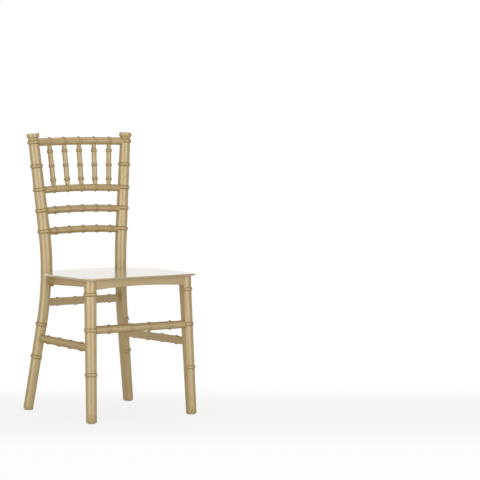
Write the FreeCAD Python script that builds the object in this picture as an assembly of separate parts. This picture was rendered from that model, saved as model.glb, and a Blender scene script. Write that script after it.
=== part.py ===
"""Chiavari chair: bent rear posts, turned legs, ringed rails and stretchers, panel seat.

Millimetres, +Z up. The origin is on the floor, midway between the feet. The chair faces -Y,
so the back is on the +Y side, and left and right are those of the drawing: left is -X.
"""
import FreeCAD, Part
import math
import os

V = FreeCAD.Vector

# Overall sizes
chair_height = 912.5
seat_height = 460.0
fit = 0.15

# Rear posts: half spread and setback of the centre line at the floor and at the top, and the
# point where the two straight parts would meet; the bend between them ends at a ring
foot_spread = 194.6
foot_setback = 197.3
knee_spread = 134.9
knee_setback = 155.4
knee_height = 437.0
crown_spread = 179.5
crown_setback = 185.0
bend_top = 591.1
post_flat_share = 0.55
post_flat_turn = 10.0
post_flat_top = 408.0

# Plain lengths of the rear post, thickest at the bend: each ends under a ring
foot_ring_height = 177.0
foot_radius = 18.0
shin_radius = 18.9
bend_radius = 20.0
back_lengths = ((660.1, 19.2), (728.7, 18.7), (805.8, 18.2))
shoulder_radius = 17.6
shoulder_drop = 28.0

# Turned cap on each rear post
cap_height = 18.0
cap_radius = 20.7
cap_neck_radius = 16.0
cap_neck_height = 3.0
cap_slope_height = 5.5
cap_edge = 1.5
cap_root = 2.0

# Front legs: how far the centre line stands in from the seat's edges at the floor, and its lean
leg_side_inset = 25.0
leg_front_inset = 12.6
front_lean_in = 0.0240
front_lean_back = 0.0485
leg_flat_share = 0.78

# Plain lengths of the front leg: each ends under a ring, and the last one under the seat
leg_lengths = ((154.1, 17.3), (295.6, 18.5), (408.6, 19.4))
leg_top_radius = 20.0

# Raised rings: length along the member, height above it, length of each slope, depth of the root
ring_height = 12.0
ring_proud = 3.6
ring_slope = 3.2
small_ring_height = 8.0
small_ring_proud = 2.4
small_ring_slope = 2.4
ring_root = 1.0

# Back rails: heights of their ends on the posts, diameters, rise and bow in the middle, ring spacing
top_rail_drop = 29.0
top_rail_diameter = 25.5
top_rail_rise = 3.2
top_rail_bow = 10.0
top_rail_pitch = 57.9
spindle_rail_height = 725.8
upper_lumbar_height = 657.0
lower_lumbar_height = 588.7
rail_diameter = 22.8
rail_rise = 5.8
rail_bow = 1.0
rail_pitch = 52.8
rail_ring_count = 5
rail_socket = 9.0

# Spindles between the top rail and the spindle rail
spindle_diameter = 17.0
spindle_end_diameter = 13.6
spindle_ring_height = 6.5
spindle_ring_proud = 2.2
spindle_ring_flat = 2.4
spindle_socket = 5.0
spindle_ring_shares = (0.14, 0.49, 0.85)

# Stretchers: heights, diameter, half spacings of their four rings, flat inner face, socket depth
stretcher_socket = 9.0
stretcher_diameter = 25.8
stretcher_flat_share = 0.35
front_stretcher_height = 294.6
rear_stretcher_height = 356.8
side_stretcher_height = 238.0
front_ring_offsets = (36.0, 116.0)
rear_ring_offsets = (32.0, 101.0)
side_ring_offsets = (39.0, 118.0)

# Seat panel
seat_thickness = 6.5
seat_half_width = 215.0
seat_front = 210.0
seat_rear = 178.6
seat_corner_radius = 32.0
seat_bend_radius = 168.0
seat_bend_start = 2.6
seat_bend_stop = 25.0
seat_edge_slope = 2.0

# Aprons under the seat
apron_thickness = 16.0
apron_depth = 31.5
apron_arch = 8.0
apron_front_inset = 19.1
apron_side_inset = 21.0
apron_rear_inset = 4.0
side_apron_radius = 361.0
side_apron_bend_start = -37.4
side_apron_line = ((0.0, 10.0), (0.35, 6.5), (0.65, 2.5), (0.87, -1.0), (0.94, -8.0), (1.0, -13.5))
apron_tenon_thickness = 7.0
apron_tenon_height = 16.0
apron_tenon_length = 12.0

# Corner blocks and the screws that rise through them into the seat
block_height = 22.0
block_leg = 50.0
rear_block_leg = 60.0
screw_head_radius = 3.8
screw_head_depth = 2.6
screw_radius = 1.9
screw_bite = 4.0

# Foot glides
glide_height = 3.0
glide_radius = 13.5
glide_pin_radius = 2.0
glide_pin_length = 14.0

seat_under = seat_height - seat_thickness
front_apron_setback = seat_front - apron_front_inset
side_apron_spread = seat_half_width - apron_side_inset
rear_apron_setback = seat_rear - apron_rear_inset
screw_length = block_height + screw_bite
cap_base = chair_height - cap_height
shoulder_height = chair_height - shoulder_drop
top_rail_height = chair_height - top_rail_drop
outside = 3 * chair_height
UP = V(0, 0, 1)

# The rear post's centre line: foot part, bend and back part
foot = V(foot_spread, foot_setback, 0)
knee = V(knee_spread, knee_setback, knee_height)
crown = V(crown_spread, crown_setback, chair_height)
down_way = (foot - knee).normalize()
up_way = (crown - knee).normalize()
bend_reach = (bend_top - knee_height) / up_way.z
bend_low = knee + down_way * bend_reach
bend_high = knee + up_way * bend_reach
bend_turn = math.pi - down_way.getAngle(up_way)
bend_curve = bend_reach / math.tan(bend_turn / 2)
bend_centre = knee + (down_way + up_way).normalize() * (bend_curve / math.cos(bend_turn / 2))
bend_spoke = bend_low - bend_centre
bend_axis = bend_spoke.cross(down_way * -1).normalize()

# The front leg's centre line
leg_foot = V(seat_half_width - leg_side_inset, leg_front_inset - seat_front, 0)
leg_way = V(-front_lean_in, front_lean_back, 1).normalize()

# The directions the flat inner sides of a right front leg and a right rear post face
leg_flat_way = V(-1, 0, 0)
post_flat_way = V(-math.cos(math.radians(post_flat_turn)), -math.sin(math.radians(post_flat_turn)), 0)


def fused(shapes):
    """One solid from overlapping shapes."""
    first = shapes[0]
    rest = shapes[1:]
    return first.multiFuse(rest).removeSplitter() if rest else first


def largest(shape):
    """The biggest solid of a shape that a cut has parted."""
    return max(shape.Solids, key=lambda solid: solid.Volume)


def mirrored(shape):
    """The same piece on the other side of the chair."""
    return shape.mirror(V(0, 0, 0), V(1, 0, 0))


def rod(start, end, radius):
    """A round bar between two points."""
    return Part.makeCylinder(radius, (end - start).Length, start, end - start)


def turned(profile, base, axis):
    """A turned solid from (radius, height) pairs, set on a base point along an axis."""
    points = [V(radius, 0, height) for radius, height in profile]
    points = [V(0, 0, profile[0][1])] + points + [V(0, 0, profile[-1][1])]
    face = Part.Face(Part.makePolygon(points + points[:1]))
    solid = face.revolve(V(0, 0, 0), UP, 360)
    solid.Placement = FreeCAD.Placement(base, FreeCAD.Rotation(UP, axis))
    return solid


def ring(centre, axis, radius, height, proud, slope):
    """A raised band with sloping edges, rooted inside the member that carries it."""
    half = height / 2
    foot_of_slope = half + ring_root * slope / proud
    profile = [(radius - ring_root, -foot_of_slope), (radius + proud, slope - half),
               (radius + proud, half - slope), (radius - ring_root, foot_of_slope)]
    return turned(profile, centre, axis)


def big_ring(centre, axis, radius):
    """A ring of the posts and front legs."""
    return ring(centre, axis, radius, ring_height, ring_proud, ring_slope)


def small_ring(centre, axis, radius):
    """A ring of the rails and stretchers."""
    return ring(centre, axis, radius, small_ring_height, small_ring_proud, small_ring_slope)


def post_at(height):
    """Centre point and upward direction of the right rear post at a height."""
    if height <= bend_low.z:
        return foot + down_way * (height / down_way.z), down_way * -1
    if height >= bend_high.z:
        return knee + up_way * ((height - knee_height) / up_way.z), up_way
    low = 0.0
    high = bend_turn
    for _ in range(40):
        middle = (low + high) / 2
        spoke = bend_spoke * math.cos(middle) - down_way * (bend_curve * math.sin(middle))
        if (bend_centre + spoke).z < height:
            low = middle
        else:
            high = middle
    return bend_centre + spoke, bend_axis.cross(spoke).normalize()


def post_radius(height):
    """Radius of the rear post at a height."""
    if height < foot_ring_height:
        return foot_radius
    if height < bend_low.z:
        return shin_radius
    if height < bend_top:
        return bend_radius
    for end, radius in back_lengths:
        if height < end:
            return radius
    return shoulder_radius


def leg_at(height):
    """Centre point of the right front leg at a height."""
    return leg_foot + leg_way * (height / leg_way.z)


def leg_radius(height):
    """Radius of the front leg at a height."""
    for end, radius in leg_lengths:
        if height < end:
            return radius
    return leg_top_radius


def inner_relief(places, facing):
    """A block that planes one side of an upright flat: (point, depth from it) pairs, going up."""
    along = UP.cross(facing)
    heights = [point.z for point, depth in places]
    edge = [facing * (point.dot(facing) + depth) + UP * point.z for point, depth in places]
    corners = [facing * outside + UP * heights[-1], facing * outside + UP * heights[0]]
    face = Part.Face(Part.makePolygon(edge + corners + edge[:1]))
    face.translate(along * -outside)
    return face.extrude(along * 2 * outside)


def post_cap(grow):
    """The turned cap on top of a rear post."""
    base, axis = post_at(cap_base - cap_root)
    neck = cap_root + cap_neck_height
    reach = cap_root + cap_height
    profile = ((cap_neck_radius + grow, 0), (cap_neck_radius + grow, neck),
               (cap_radius + grow, neck + cap_slope_height), (cap_radius + grow, reach - cap_edge),
               (cap_radius - cap_edge, reach))
    return turned(profile, base, axis)


def post_body(grow):
    """The right rear post with its bend, rings, cap and flat inner side below the seat."""
    section = Part.Face(Part.Wire(Part.makeCircle(bend_radius + grow, bend_low, down_way)))
    shapes = [section.revolve(bend_centre, bend_axis, math.degrees(bend_turn))]
    foot_ring = post_at(foot_ring_height)[0]
    below_floor = foot + down_way * glide_height
    shapes.append(rod(below_floor, foot_ring, foot_radius + grow))
    shapes.append(big_ring(foot_ring, down_way, shin_radius + grow))
    shapes.append(rod(foot_ring, bend_low, shin_radius + grow))
    shapes.append(big_ring(bend_low, down_way, bend_radius + grow))
    shapes.append(big_ring(bend_high, up_way, bend_radius + grow))
    start = bend_high
    for end, radius in back_lengths + ((shoulder_height, shoulder_radius),):
        shapes.append(rod(start, post_at(end)[0], radius + grow))
        shapes.append(big_ring(post_at(end)[0], up_way, radius + grow))
        start = post_at(end)[0]
    shapes.append(rod(start, post_at(cap_base)[0], shoulder_radius - 0.6 + grow))
    shapes.append(post_cap(grow))
    body = fused(shapes)
    places = []
    for height in (0.0, bend_low.z, post_flat_top):
        places.append((post_at(height)[0], post_radius(height) * post_flat_share + grow))
    return body.cut(inner_relief(places, post_flat_way))


def leg_body(grow):
    """The right front leg with its rings and flat inner side."""
    shapes = []
    start = leg_foot - leg_way * glide_height
    for end, radius in leg_lengths:
        shapes.append(rod(start, leg_at(end), radius + grow))
        shapes.append(big_ring(leg_at(end), leg_way, leg_radius(end) + grow))
        start = leg_at(end)
    shapes.append(rod(start, leg_at(seat_height), leg_top_radius + grow))
    body = fused(shapes)
    depth = leg_radius(seat_under / 2) * leg_flat_share + grow
    return body.cut(inner_relief([(leg_at(0), depth), (leg_at(seat_height), depth)], leg_flat_way))


def floor_cut(body, top):
    """Trims an upright level above its glide and level at the top."""
    slab = Part.makeBox(2 * outside, 2 * outside, top - glide_height, V(-outside, -outside, glide_height))
    return body.common(slab)


def rail_path(height, rise, bow):
    """The arc of a back rail between the post centre lines."""
    end = post_at(height)[0]
    middle = V(0, end.y + bow, height + rise)
    return Part.Arc(V(-end.x, end.y, height), middle, end)


def rail_point(path, x):
    """Point of a rail's arc at a distance from the middle of the chair."""
    low = path.FirstParameter
    high = path.LastParameter
    forward = path.value(high).x > path.value(low).x
    for _ in range(40):
        middle = (low + high) / 2
        if (path.value(middle).x < x) == forward:
            low = middle
        else:
            high = middle
    return path.value(low)


def ring_places(pitch):
    """Distances of the rail rings from the middle of the chair."""
    first = -(rail_ring_count - 1) / 2
    return [(first + index) * pitch for index in range(rail_ring_count)]


def rail_stations(path, height, pitch):
    """Points along a rail: the bottoms of its two sockets and the middles of its rings."""
    end = post_at(height)[0].x - post_radius(height) + rail_socket
    return [rail_point(path, x) for x in [-end] + ring_places(pitch) + [end]]


def back_rail(stations, diameter):
    """A bent back rail: plain lengths that change direction under its rings."""
    shapes = [rod(start, end, diameter / 2) for start, end in zip(stations, stations[1:])]
    for before, centre, after in zip(stations, stations[1:], stations[2:]):
        shapes.append(small_ring(centre, after - before, diameter / 2))
    return fused(shapes)


def rail_bore(stations, diameter):
    """The bore in the right post for the end of a rail."""
    start = stations[-2]
    end = stations[-1]
    along = (end - start).normalize()
    return rod(start, end + along * fit, diameter / 2 + fit)


def spindle(low, high):
    """A turned spindle with three rings and narrowed ends, between the axes of its two rails."""
    start = rail_diameter / 2
    length = (high - low).Length - start - top_rail_diameter / 2
    shaft = spindle_diameter / 2
    end = spindle_end_diameter / 2
    peak = shaft + spindle_ring_proud
    half = spindle_ring_height / 2
    radii = (end, shaft, shaft, end)
    profile = [(end, -spindle_socket)]
    for share, below, above in zip(spindle_ring_shares, radii, radii[1:]):
        middle = length * share
        profile += [(below, middle - half), (peak, middle - spindle_ring_flat / 2),
                    (peak, middle + spindle_ring_flat / 2), (above, middle + half)]
    profile.append((end, length + spindle_socket))
    axis = (high - low).normalize()
    return turned(profile, low + axis * start, axis)


def spindle_bores(low, high):
    """The bores for a spindle's ends in the spindle rail and in the top rail."""
    axis = (high - low).normalize()
    radius = spindle_end_diameter / 2 + fit
    floor = low + axis * (rail_diameter / 2 - spindle_socket - fit)
    ceiling = high - axis * (top_rail_diameter / 2 - spindle_socket - fit)
    return (rod(floor, low + axis * rail_diameter, radius),
            rod(high - axis * top_rail_diameter, ceiling, radius))


def planed(body, start, along, across, depth):
    """A bar along a line with one side planed flat at a depth from its axis."""
    side = along.cross(across)
    block = Part.makeBox(2 * outside, outside, 2 * outside)
    corner = start - along * outside + across * depth - side * outside
    block.Placement = FreeCAD.Placement(corner, FreeCAD.Rotation(along, across, side, "XYZ"))
    return body.cut(block)


def stretcher_bar(start, end, inward, grow):
    """The plain bar of a stretcher: round outside, flat inside; grown, it is a mortise."""
    along = (end - start).normalize()
    across = (inward - along * inward.dot(along)).normalize()
    radius = stretcher_diameter / 2 + grow
    bar = rod(start - along * grow, end + along * grow, radius)
    return planed(bar, start, along, across, stretcher_diameter / 2 * stretcher_flat_share + grow)


def stretcher(start, end, offsets, inward):
    """A straight stretcher with four rings that wrap its round side."""
    along = (end - start).normalize()
    across = (inward - along * inward.dot(along)).normalize()
    radius = stretcher_diameter / 2
    middle = (start + end) * 0.5
    shapes = [rod(start, end, radius)]
    for offset in offsets:
        for side in (-1, 1):
            shapes.append(small_ring(middle + along * offset * side, along, radius))
    return planed(fused(shapes), start, along, across, radius * stretcher_flat_share)


def seat_outline():
    """The outline of the seat, with bent rear sides that end on the posts."""
    half = seat_half_width
    radius = seat_corner_radius
    slant = radius * (1 - math.cos(math.radians(45)))
    centre_x = half - seat_bend_radius
    post = post_at(seat_height)[0]
    end_y = post.y - seat_bend_stop
    end_x = centre_x + math.sqrt(seat_bend_radius ** 2 - (end_y - seat_bend_start) ** 2)
    turn = math.asin((end_y - seat_bend_start) / seat_bend_radius) / 2
    bend = V(centre_x + seat_bend_radius * math.cos(turn),
             seat_bend_start + seat_bend_radius * math.sin(turn), 0)
    inner_x = post.x - bend_radius * 0.9
    points = (V(half - radius, -seat_front, 0), V(half - slant, -seat_front + slant, 0),
              V(half, -seat_front + radius, 0), V(half, seat_bend_start, 0), bend, V(end_x, end_y, 0),
              V(post.x, post.y, 0), V(inner_x, seat_rear, 0))
    right = [Part.Arc(points[0], points[1], points[2]).toShape(), Part.makeLine(points[2], points[3]),
             Part.Arc(points[3], points[4], points[5]).toShape(), Part.makeLine(points[5], points[6]),
             Part.makeLine(points[6], points[7])]
    left = [mirrored(edge) for edge in right]
    front = Part.makeLine(V(-half + radius, -seat_front, 0), points[0])
    back = Part.makeLine(points[7], V(-inner_x, seat_rear, 0))
    edges = Part.sortEdges(right + left + [front, back])[0]
    return Part.Wire(edges)


def seat_body(posts):
    """The seat panel: a lip with sloping top edge, notched round both posts."""
    face = Part.Face(seat_outline())
    panel = face.extrude(V(0, 0, seat_thickness))
    panel.translate(V(0, 0, seat_under))
    rim_end = post_at(seat_height)[0].y - seat_bend_stop
    rim = [edge for edge in panel.Edges
           if edge.BoundBox.ZMin > seat_height - fit and edge.CenterOfMass.y < rim_end]
    panel = panel.makeChamfer(seat_edge_slope, rim)
    for post in posts:
        panel = largest(panel.cut(post))
    return panel


def curve_through(points):
    """A smooth open curve through points."""
    curve = Part.BSplineCurve()
    curve.interpolate(points)
    return curve


def arched(length, depth, thickness):
    """A straight apron board along X with an arched lower edge."""
    half = length / 2
    low = seat_under - depth
    start = V(-half, 0, low)
    end = V(half, 0, low)
    lower = Part.Arc(start, V(0, 0, low + apron_arch), end).toShape()
    upper = Part.makePolygon([end, V(half, 0, seat_under), V(-half, 0, seat_under), start])
    return Part.Face(Part.Wire([lower] + upper.Edges)).extrude(V(0, thickness, 0))


def apron_tenon(point, along, reach, grow):
    """A flat tenon into an upright whose centre is near a point, running along a direction."""
    flat = V(along.x, along.y, 0).normalize()
    length = apron_tenon_length + 8 + grow
    box = Part.makeBox(length, apron_tenon_thickness + 2 * grow, apron_tenon_height + 2 * grow)
    side = UP.cross(flat)
    start = (point - flat * (reach + 8) - side * (apron_tenon_thickness / 2 + grow)
             - UP * (apron_tenon_height / 2 + grow))
    box.Placement = FreeCAD.Placement(start, FreeCAD.Rotation(flat, side, UP, "XYZ"))
    return box


def side_apron_body():
    """The right side apron: straight from the front leg, then bent in, with a flare at the post."""
    outer = side_apron_radius
    inner = side_apron_radius - apron_thickness
    centre_x = side_apron_spread - side_apron_radius
    post = post_at(seat_under)[0]
    front = leg_at(seat_under)
    turn = math.asin((post.y - side_apron_bend_start) / outer)

    def on_arc(radius, angle):
        return V(centre_x + radius * math.cos(angle), side_apron_bend_start + radius * math.sin(angle), 0)

    outer_x = side_apron_spread
    inner_x = side_apron_spread - apron_thickness
    edges = [Part.makeLine(V(outer_x, front.y, 0), on_arc(outer, 0)),
             Part.Arc(on_arc(outer, 0), on_arc(outer, turn / 2), on_arc(outer, turn)).toShape(),
             Part.makeLine(on_arc(outer, turn), on_arc(inner, turn)),
             Part.Arc(on_arc(inner, turn), on_arc(inner, turn / 2), on_arc(inner, 0)).toShape(),
             Part.makeLine(on_arc(inner, 0), V(inner_x, front.y, 0)),
             Part.makeLine(V(inner_x, front.y, 0), V(outer_x, front.y, 0))]
    plan = Part.Face(Part.Wire(edges))
    under = seat_under - 3 * apron_depth
    board = plan.extrude(V(0, 0, seat_under - under))
    board.translate(V(0, 0, under))
    low = seat_under - apron_depth
    span = post.y - front.y
    points = [V(0, front.y + span * share, low + rise) for share, rise in side_apron_line]
    lower = curve_through(points).toShape()
    deeper = under - apron_depth
    frame = Part.makePolygon([points[-1], V(0, post.y, deeper), V(0, front.y, deeper), points[0]])
    hollow = Part.Face(Part.Wire([lower] + frame.Edges)).extrude(V(outside, 0, 0))
    return board.cut(hollow)


def screw(head, direction, length, grow):
    """A countersunk wood screw with its head's outer face at a point."""
    profile = ((screw_head_radius + grow, -grow), (screw_radius + grow, screw_head_depth),
               (screw_radius + grow, length + grow))
    return turned(profile, head, direction)


def save(node, shape):
    """Writes one sub-part."""
    shape.exportStep(os.path.join("parts", node + ".step"))
    print(node, len(shape.Solids), round(shape.Volume / 1000, 1), shape.isValid())


os.makedirs("parts", exist_ok=True)

# Uprights, plain and grown by the fit for the pieces that seat on them
post_right = post_body(0)
post_right_seat = post_body(fit)
post_left_seat = mirrored(post_right_seat)
leg_right = leg_body(0)
leg_right_seat = leg_body(fit)
leg_left_seat = mirrored(leg_right_seat)
post_seats = (post_right_seat, post_left_seat)
leg_seats = (leg_right_seat, leg_left_seat)

# Back rails
top_rail_path = rail_path(top_rail_height, top_rail_rise, top_rail_bow)
spindle_rail_path = rail_path(spindle_rail_height, rail_rise, rail_bow)
upper_lumbar_path = rail_path(upper_lumbar_height, rail_rise, rail_bow)
lower_lumbar_path = rail_path(lower_lumbar_height, rail_rise, rail_bow)
top_rail_line = rail_stations(top_rail_path, top_rail_height, top_rail_pitch)
spindle_rail_line = rail_stations(spindle_rail_path, spindle_rail_height, rail_pitch)
upper_lumbar_line = rail_stations(upper_lumbar_path, upper_lumbar_height, rail_pitch)
lower_lumbar_line = rail_stations(lower_lumbar_path, lower_lumbar_height, rail_pitch)
top_rail = back_rail(top_rail_line, top_rail_diameter)
spindle_rail = back_rail(spindle_rail_line, rail_diameter)
upper_lumbar_rail = back_rail(upper_lumbar_line, rail_diameter)
lower_lumbar_rail = back_rail(lower_lumbar_line, rail_diameter)

# Spindles and their bores
spindles = []
for low, high in zip(spindle_rail_line[1:-1], top_rail_line[1:-1]):
    spindles.append(spindle(low, high))
    low_bore, high_bore = spindle_bores(low, high)
    spindle_rail = spindle_rail.cut(low_bore)
    top_rail = top_rail.cut(high_bore)

# Stretchers, each let into its two uprights
across = V(1, 0, 0)
front_centre = leg_at(front_stretcher_height)
front_side = front_centre.x - leg_radius(front_stretcher_height) * leg_flat_share
front_end = V(front_side + stretcher_socket, front_centre.y, front_centre.z)
front_start = V(-front_end.x, front_end.y, front_end.z)
front_stretcher = stretcher(front_start, front_end, front_ring_offsets, V(0, 1, 0))
rear_centre = post_at(rear_stretcher_height)[0]
rear_side = rear_centre.x - post_radius(rear_stretcher_height) * post_flat_share
rear_end = V(rear_side + stretcher_socket, rear_centre.y, rear_centre.z)
rear_start = V(-rear_end.x, rear_end.y, rear_end.z)
rear_stretcher = stretcher(rear_start, rear_end, rear_ring_offsets, V(0, -1, 0))
side_leg = leg_at(side_stretcher_height)
side_post = post_at(side_stretcher_height)[0]
side_way = (side_post - side_leg).normalize()
side_start = side_leg + side_way * (leg_radius(side_stretcher_height) - stretcher_socket)
side_end = side_post - side_way * (post_radius(side_stretcher_height) - stretcher_socket)
side_stretcher = stretcher(side_start, side_end, side_ring_offsets, V(-1, 0, 0))

# Aprons with their tenons
tenon_height = seat_under - apron_depth / 2
front_mid = -front_apron_setback + apron_thickness / 2
rear_mid = rear_apron_setback - apron_thickness / 2
leg_centre = leg_at(tenon_height)
post_centre = post_at(tenon_height)[0]
front_apron = arched(2 * leg_centre.x, apron_depth, apron_thickness)
front_apron.translate(V(0, -front_apron_setback, 0))
rear_apron = arched(2 * post_centre.x, apron_depth, -apron_thickness)
rear_apron.translate(V(0, rear_apron_setback, 0))
side_apron = side_apron_body()
for seat in leg_seats:
    front_apron = largest(front_apron.cut(seat))
for seat in post_seats:
    rear_apron = largest(rear_apron.cut(seat))
side_apron = largest(largest(side_apron.cut(leg_right_seat)).cut(post_right_seat))

side_mid = side_apron_spread - apron_thickness / 2
side_curve = side_apron_radius - apron_thickness / 2
turn_end = math.asin((post_centre.y - bend_radius - side_apron_bend_start) / side_curve)
side_apron_end = V(side_apron_spread - side_apron_radius + side_curve * math.cos(turn_end),
                   post_centre.y - bend_radius, tenon_height)
side_apron_way = V(-math.sin(turn_end), math.cos(turn_end), 0)


def apron_tenons(grow):
    """Tenons of the aprons: front into leg, rear into post, side into leg and post."""
    front = apron_tenon(V(leg_centre.x, front_mid, tenon_height), across,
                        leg_radius(tenon_height) * leg_flat_share, grow)
    rear = apron_tenon(V(post_centre.x, rear_mid, tenon_height), across,
                       bend_radius * 0.9, grow)
    side_fore = apron_tenon(V(side_mid, leg_centre.y, tenon_height), V(0, -1, 0),
                            leg_radius(tenon_height) * 0.8, grow)
    side_aft = apron_tenon(side_apron_end, side_apron_way, 0, grow)
    return front, rear, side_fore, side_aft


front_t, rear_t, side_fore_t, side_aft_t = apron_tenons(0)
front_apron = fused([front_apron, front_t, mirrored(front_t)])
rear_apron = fused([rear_apron, rear_t, mirrored(rear_t)])
side_apron = fused([side_apron, side_fore_t, side_aft_t])

# Seat panel
seat_panel = seat_body(post_seats)


def glide(place):
    """A round glide on the floor under a leg, with the pin that is driven into the leg."""
    disc = Part.makeCylinder(glide_radius, glide_height, V(place.x, place.y, 0))
    return fused([disc, glide_pin(place, 0)])


def glide_pin(place, grow):
    """The pin of a glide, and grown, the hole for it."""
    start = V(place.x, place.y, glide_height - 1)
    return rod(start, start + UP * (glide_pin_length + 1 + grow), glide_pin_radius + grow)


# Bores, mortises and pin holes in the uprights
front_m, rear_m, side_fore_m, side_aft_m = apron_tenons(fit)
side_mortise = stretcher_bar(side_start, side_end, V(-1, 0, 0), fit)
leg_cuts = [front_m, side_fore_m, side_mortise, glide_pin(leg_foot, fit),
            stretcher_bar(front_start, front_end, V(0, 1, 0), fit)]
post_cuts = [rear_m, side_aft_m, side_mortise, glide_pin(foot, fit),
             stretcher_bar(rear_start, rear_end, V(0, -1, 0), fit),
             rail_bore(top_rail_line, top_rail_diameter), rail_bore(spindle_rail_line, rail_diameter),
             rail_bore(upper_lumbar_line, rail_diameter), rail_bore(lower_lumbar_line, rail_diameter)]
leg_right = largest(floor_cut(leg_right.cut(leg_cuts), seat_under))
post_right = largest(floor_cut(post_right.cut(post_cuts), outside))


def prism(points, height):
    """An upright prism that hangs from the underside of the seat."""
    face = Part.Face(Part.makePolygon(list(points) + [points[0]]))
    return face.extrude(V(0, 0, -height))


# Corner blocks: one behind each front leg and one in front of each rear post
corner_x = side_apron_spread - apron_thickness
corner_y = -front_apron_setback + apron_thickness
front_block = prism((V(corner_x, corner_y, seat_under), V(corner_x, corner_y + block_leg, seat_under),
                     V(corner_x - block_leg, corner_y, seat_under)), block_height)
front_block = largest(front_block.cut(leg_right_seat))
rear_x = side_apron_end.x + 10
rear_y = rear_apron_setback - apron_thickness
rear_block = prism((V(rear_x, rear_y, seat_under), V(rear_x, rear_y - rear_block_leg, seat_under),
                    V(rear_x - rear_block_leg, rear_y, seat_under)), block_height)
rear_block = largest(rear_block.cut(post_right_seat).cut(side_apron))

# Screws that rise through the blocks into the seat
block_base = seat_under - block_height
front_screw_place = V(corner_x - block_leg * 0.42, corner_y + block_leg * 0.30, block_base)
rear_screw_place = V(rear_x - rear_block_leg * 0.62, rear_y - rear_block_leg * 0.20, block_base)


def screws(grow):
    """The screws of the right corner blocks, and grown, the holes for them."""
    return [screw(place, UP, screw_length, grow) for place in (front_screw_place, rear_screw_place)]


front_hole, rear_hole = screws(fit)
front_block = front_block.cut(front_hole)
rear_block = rear_block.cut(rear_hole)
seat_panel = seat_panel.cut([front_hole, rear_hole, mirrored(front_hole), mirrored(rear_hole)])


def both_sides(shapes):
    """Shapes of the right side together with their mirror images."""
    return Part.makeCompound(list(shapes) + [mirrored(shape) for shape in shapes])


save("rear_post_right", post_right)
save("rear_post_left", mirrored(post_right))
save("front_leg_right", leg_right)
save("front_leg_left", mirrored(leg_right))
save("top_rail", top_rail)
save("spindle_rail", spindle_rail)
save("upper_lumbar_rail", upper_lumbar_rail)
save("lower_lumbar_rail", lower_lumbar_rail)
for number, piece in enumerate(spindles, 1):
    save("spindle_%d" % number, piece)
save("front_stretcher", front_stretcher)
save("rear_stretcher", rear_stretcher)
save("side_stretcher_right", side_stretcher)
save("side_stretcher_left", mirrored(side_stretcher))
save("front_apron", front_apron)
save("rear_apron", rear_apron)
save("side_apron_right", side_apron)
save("side_apron_left", mirrored(side_apron))
save("seat_panel", seat_panel)
save("corner_block_front_right", front_block)
save("corner_block_front_left", mirrored(front_block))
save("corner_block_rear_right", rear_block)
save("corner_block_rear_left", mirrored(rear_block))
save("foot_glide_front_right", glide(leg_foot))
save("foot_glide_front_left", mirrored(glide(leg_foot)))
save("foot_glide_rear_right", glide(foot))
save("foot_glide_rear_left", mirrored(glide(foot)))
save("seat_screws", both_sides(screws(0)))
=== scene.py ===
"""Looks of a gold chiavari chair: turned and bent members, panel seat, satin paint, studio.

Metres, +Z up, the chair faces -Y. Each sub-assembly is a class that models its own pieces with
Blender's edit tools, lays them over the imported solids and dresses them.
"""
import logging
import math
from dataclasses import dataclass
from enum import Enum
from typing import Callable, Iterable, Sequence, Union

import bmesh
import bpy
from mathutils import Matrix, Vector


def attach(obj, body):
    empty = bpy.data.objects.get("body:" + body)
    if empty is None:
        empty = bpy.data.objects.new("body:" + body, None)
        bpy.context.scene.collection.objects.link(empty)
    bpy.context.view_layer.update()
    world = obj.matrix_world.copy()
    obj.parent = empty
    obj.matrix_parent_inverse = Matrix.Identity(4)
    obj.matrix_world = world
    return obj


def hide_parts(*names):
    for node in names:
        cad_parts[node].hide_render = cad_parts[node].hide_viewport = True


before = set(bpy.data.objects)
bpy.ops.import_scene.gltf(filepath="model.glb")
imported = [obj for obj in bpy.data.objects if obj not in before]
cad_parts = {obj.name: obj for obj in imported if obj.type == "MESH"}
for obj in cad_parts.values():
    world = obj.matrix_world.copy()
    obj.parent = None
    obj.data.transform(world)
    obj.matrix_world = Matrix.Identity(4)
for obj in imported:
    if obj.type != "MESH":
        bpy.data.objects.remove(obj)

log = logging.getLogger("chair")

Pair = tuple[float, float]
Colour = tuple[float, float, float, float]
Grain = tuple[float, float, float]  # scale, detail and roughness of a noise
Place = tuple[float, float, float]
Piece = bpy.types.Object
Socket = bpy.types.NodeSocket
MM = 0.001
TOUCH = 1e-6  # distance under which two points are one
UP = Vector((0.0, 0.0, 1.0))
ACROSS = Vector((1.0, 0.0, 0.0))
BACKDROP = Vector((0.574, 0.819, 0.0))  # from the camera towards the white backdrop
BEYOND = 1.0  # a length past the end of any bar
SAWN_EDGE = 40.0  # degrees from which an edge of a sawn piece is rounded
SAWN_SMOOTH = 50.0  # degrees up to which a sawn piece is shaded smooth
HALVINGS = 40  # of a bend, until a point on it is exact


# Hand tools, each used on one object at a time


def clear() -> None:
    """Leaves edit mode and deselects everything."""
    if bpy.context.object and bpy.context.object.mode != "OBJECT":
        bpy.ops.object.mode_set(mode="OBJECT")
    bpy.ops.object.select_all(action="DESELECT")


def choose(piece: Piece) -> None:
    """Makes one object the only selected and active one.

    Args:
        piece: The object to select.
    """
    clear()
    piece.select_set(True)
    bpy.context.view_layer.objects.active = piece


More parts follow.
